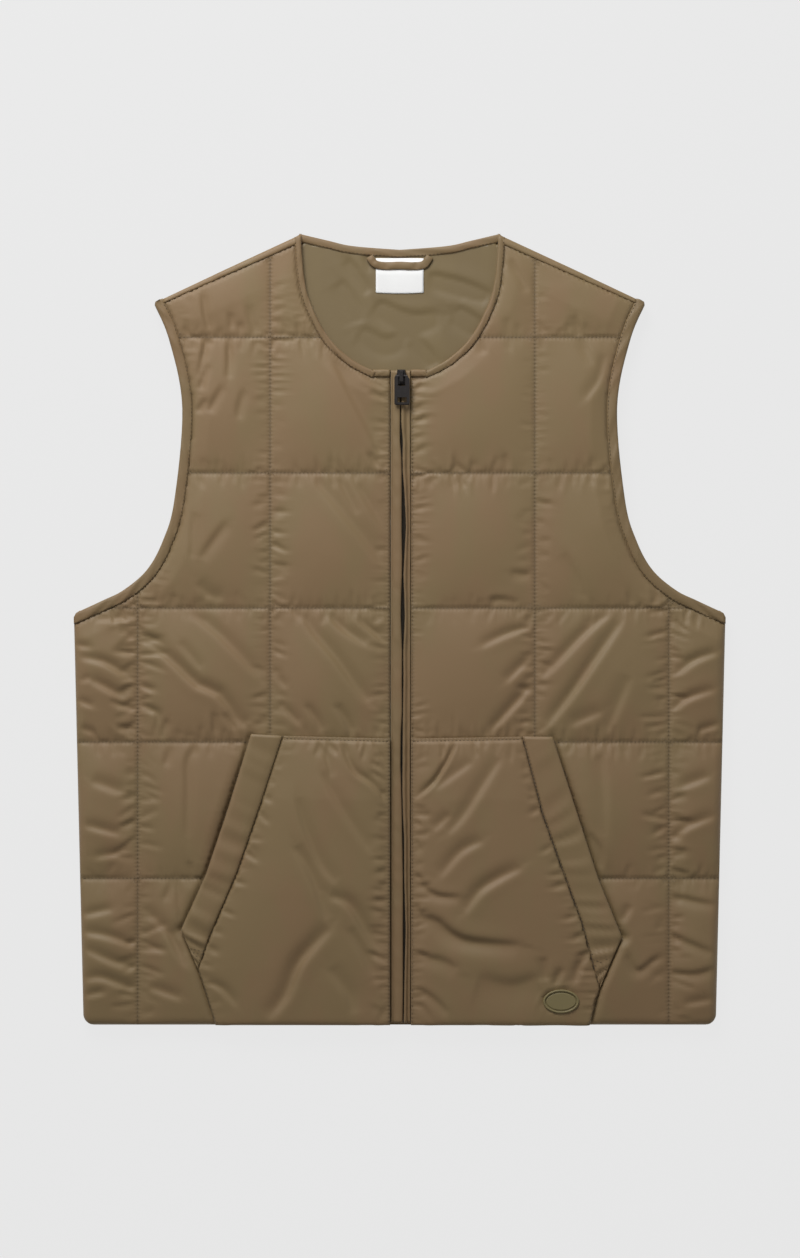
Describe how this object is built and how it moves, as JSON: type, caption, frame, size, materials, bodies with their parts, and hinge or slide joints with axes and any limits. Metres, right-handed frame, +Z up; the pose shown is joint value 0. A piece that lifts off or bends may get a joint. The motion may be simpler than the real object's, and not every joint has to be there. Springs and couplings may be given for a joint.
{
  "type": "quilted vest laid flat",
  "caption": "Square-quilted padded vest with a round bound neck, a full-length zip and slanting patch pockets, laid flat with its front up.",
  "frame": {"origin": "on the surface that the vest lies on, under the middle of its outline", "axes": "+Z up out of the front, +Y from the hem to the neck, +X to the wearer's left"},
  "size_m": [0.56, 0.68, 0.023],
  "materials": {
    "shell": "brown-olive plain-weave nylon with a soft sheen",
    "trim": "the shell cloth folded into binding tape and flaps",
    "lining": "smooth olive taffeta",
    "patch": "moulded olive patch with a raised rim",
    "label": "white woven tape",
    "zip_tape": "dark woven tape with a nylon coil",
    "zip_metal": "near-black lacquer, satin"
  },
  "bodies": {
    "vest": {"back_panel": "shell", "back_lining": "lining", "front_right": "shell", "front_left": "shell", "pocket_right": "shell", "pocket_left": "shell", "pocket_band_right": "shell", "pocket_band_left": "shell", "neck_binding_right": "trim", "neck_binding_left": "trim", "neck_binding_back": "trim", "armhole_binding_front_right": "trim", "armhole_binding_front_left": "trim", "armhole_binding_back_right": "trim", "armhole_binding_back_left": "trim", "zip_flap_right": "trim", "zip_flap_left": "trim", "zip_tape": "zip_tape", "zip_slider": "zip_metal", "neck_label": "label", "hanger_loop": "trim", "oval_patch": "patch"},
    "pull_tab": {"zip_pull_tab": "zip_metal"}
  },
  "joints": [
    {"name": "pull_tab_hinge", "type": "hinge", "parent": "vest", "child": "pull_tab", "pos_m": [0.002, 0.217, 0.01655], "axis": [-1, 0, 0], "range_deg": [0, 165]}
  ]
}
